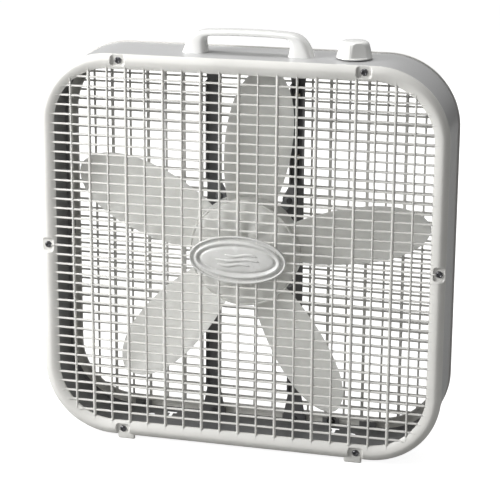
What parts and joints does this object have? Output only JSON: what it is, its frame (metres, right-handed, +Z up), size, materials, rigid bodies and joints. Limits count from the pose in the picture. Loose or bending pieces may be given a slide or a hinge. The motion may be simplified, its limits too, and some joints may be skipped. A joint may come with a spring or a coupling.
{
  "type": "box fan",
  "caption": "Square floor fan with a steel wrap, moulded grilles front and back, a petal-bladed impeller on a strut-held motor, a top handle and a rotary speed knob.",
  "frame": {"origin": "centre of the footprint, on the surface that the foot tabs stand on", "axes": "+Z up, -Y towards the front grille and the airflow, +X to the right as seen from the front"},
  "size_m": [0.546, 0.111, 0.5685],
  "materials": {
    "steel_wrap": "satin",
    "grille_plastic": "gloss",
    "trim_plastic": "gloss",
    "blade_plastic": "satin",
    "strut_paint": "satin",
    "dark_screw": "satin",
    "zinc_steel": "satin",
    "shield_alloy": "satin",
    "lamination_steel": "satin",
    "cage_alloy": "satin",
    "copper": "satin",
    "winding": "gloss",
    "bronze": "satin",
    "shaft_steel": "satin",
    "nylon": "satin",
    "phenolic": "matte",
    "brass_tab": "satin",
    "rubber": "matte",
    "lead_sleeve": "satin"
  },
  "bodies": {
    "root": {"housing_shell": "steel_wrap", "front_grille": "grille_plastic", "rear_grille": "grille_plastic", "badge_plate": "trim_plastic", "badge_clips": "zinc_steel", "front_grille_screws": "dark_screw", "rear_grille_screws": "dark_screw", "carry_handle": "trim_plastic", "handle_screws": "zinc_steel", "motor_strut_left": "strut_paint", "motor_strut_right": "strut_paint", "strut_screws": "dark_screw", "motor_rear_shield": "shield_alloy", "motor_front_shield": "shield_alloy", "stator_core": "lamination_steel", "stator_windings": "winding", "shading_rings": "copper", "thermal_fuse": "nylon", "motor_bolts": "zinc_steel", "motor_nuts": "zinc_steel", "motor_mount_screws": "dark_screw", "front_bearing": "bronze", "rear_bearing": "bronze", "switch_body": "phenolic", "switch_nut": "zinc_steel", "switch_terminals": "brass_tab", "motor_lead": "lead_sleeve", "lead_clips": "nylon", "cord_grommet": "rubber"},
    "rotor": {"fan_blade": "blade_plastic", "blade_clip": "zinc_steel", "motor_shaft": "shaft_steel", "rotor_core": "lamination_steel", "rotor_cage": "cage_alloy", "thrust_washers": "nylon"},
    "knob": {"speed_knob": "trim_plastic", "switch_spindle": "shaft_steel"}
  },
  "joints": [
    {"name": "blade_spin", "type": "hinge", "parent": "root", "child": "rotor", "pos_m": [0, 0, 0.272], "axis": [0, 1, 0], "continuous": true},
    {"name": "knob_turn", "type": "hinge", "parent": "root", "child": "knob", "pos_m": [0.14, 0, 0.5365], "axis": [0, 0, 1], "range_deg": [-135, 0]}
  ]
}
